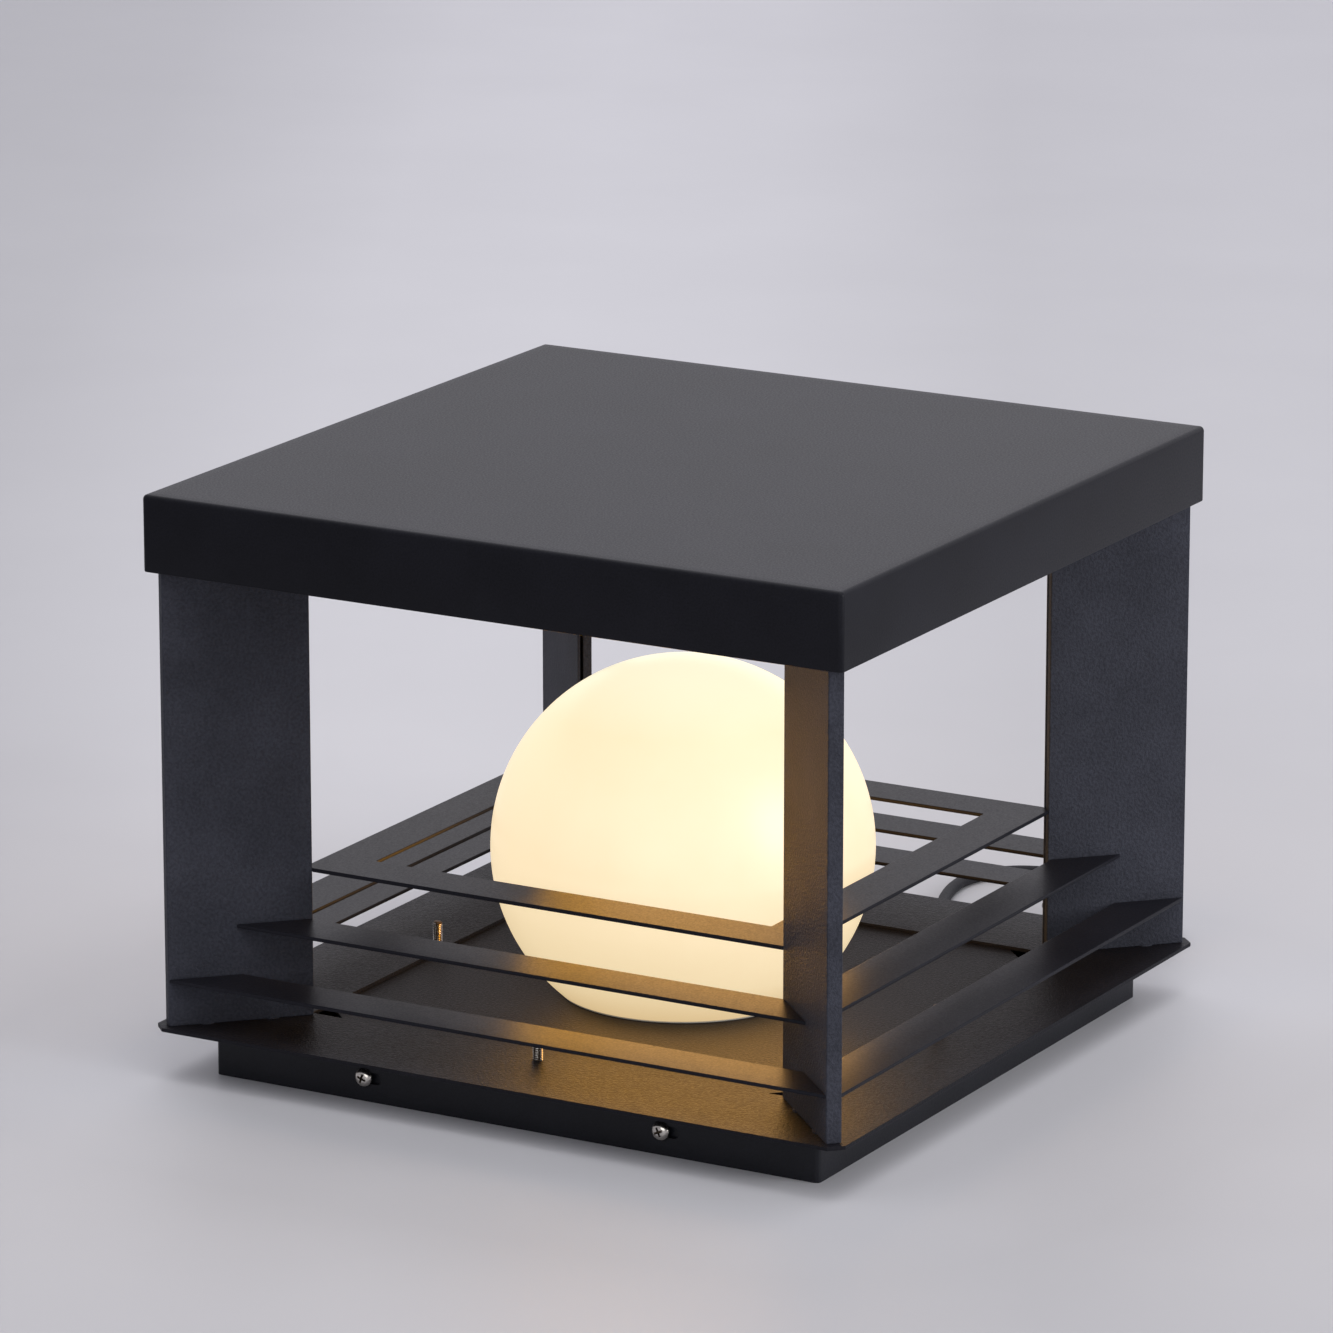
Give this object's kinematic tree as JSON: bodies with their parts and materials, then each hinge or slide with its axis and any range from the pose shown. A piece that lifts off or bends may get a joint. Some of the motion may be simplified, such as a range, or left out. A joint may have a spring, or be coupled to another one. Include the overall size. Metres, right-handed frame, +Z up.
{
  "type": "pillar lantern",
  "caption": "Square sheet-metal pillar lantern with diagonal posts, flat louvres, an opal globe and a hard-wired supply lead.",
  "frame": {"origin": "middle of the base on the surface that the lantern stands on", "axes": "+Z up through the globe, +X to the right and -Y out of the front face, the one with two side screws; the cable leaves at +Y"},
  "size_m": [0.3, 0.4132, 0.2315],
  "materials": {
    "roof_coat": "satin fine-textured powder coat, charcoal",
    "post_coat": "fine-textured powder coat, charcoal",
    "louvre_coat": "satin powder coat, charcoal",
    "plate_coat": "coarse-textured powder coat, charcoal",
    "skirt_coat": "satin powder coat, charcoal",
    "steel_screw": "plain stainless",
    "zinc_plate": "zinc plated sheet",
    "opal_glass": "opal, satin, lit from within",
    "collar_plastic": "moulded, heat resistant",
    "gasket_rubber": "black foam rubber",
    "holder_ceramic": "glazed porcelain",
    "contact_brass": "bare brass",
    "cap_nickel": "nickel plated",
    "contact_insulator": "black insulator",
    "bulb_plastic": "white moulded",
    "bulb_diffuser": "opal diffuser, lit",
    "block_plastic": "natural nylon",
    "lead_sleeve": "silicone sleeve",
    "earth_sleeve": "green and yellow",
    "cable_sheath": "smooth dark grey sheath",
    "gland_plastic": "black nylon",
    "core_sleeve": "core insulation"
  },
  "bodies": {
    "cage": {"roof": "roof_coat", "post_front": "post_coat", "post_right": "post_coat", "post_back": "post_coat", "post_left": "post_coat", "louvre_low_front": "louvre_coat", "louvre_low_right": "louvre_coat", "louvre_low_rear": "louvre_coat", "louvre_low_left": "louvre_coat", "louvre_mid_front": "louvre_coat", "louvre_mid_right": "louvre_coat", "louvre_mid_rear": "louvre_coat", "louvre_mid_left": "louvre_coat", "louvre_top": "louvre_coat", "base_flange": "plate_coat", "base_skirt": "skirt_coat", "carrier_plate": "plate_coat", "carrier_screws": "steel_screw", "carrier_washers": "steel_screw", "pillar_bracket": "skirt_coat", "side_screws": "steel_screw", "side_nuts": "steel_screw", "globe_gasket": "gasket_rubber", "gallery": "zinc_plate", "gallery_rivets": "zinc_plate", "holder_bracket": "zinc_plate", "holder_screws": "steel_screw", "lamp_holder": "holder_ceramic", "holder_shell": "contact_brass", "holder_contact": "contact_brass", "terminal_block": "block_plastic", "terminal_screws": "steel_screw", "holder_leads": "lead_sleeve", "earth_screw": "steel_screw", "earth_lead": "earth_sleeve", "inner_cable": "cable_sheath", "cable_gland": "gland_plastic", "gland_locknut": "gland_plastic", "gland_dome": "gland_plastic", "supply_cord": "cable_sheath", "cord_coil": "cable_sheath", "cord_cores": "core_sleeve"},
    "globe": {"globe": "opal_glass", "globe_collar": "collar_plastic"},
    "bulb": {"bulb_cap": "cap_nickel", "bulb_contact": "contact_insulator", "bulb_neck": "bulb_plastic", "bulb_diffuser": "bulb_diffuser"}
  },
  "joints": [
    {"name": "globe_turn", "type": "hinge", "parent": "cage", "child": "globe", "pos_m": [0, 0, 0.0775], "axis": [0, 0, 1], "range_deg": [0, 30]},
    {"name": "bulb_turn", "type": "hinge", "parent": "cage", "child": "bulb", "pos_m": [0, 0, 0.054], "axis": [0, 0, 1], "range_deg": [0, 720]}
  ]
}
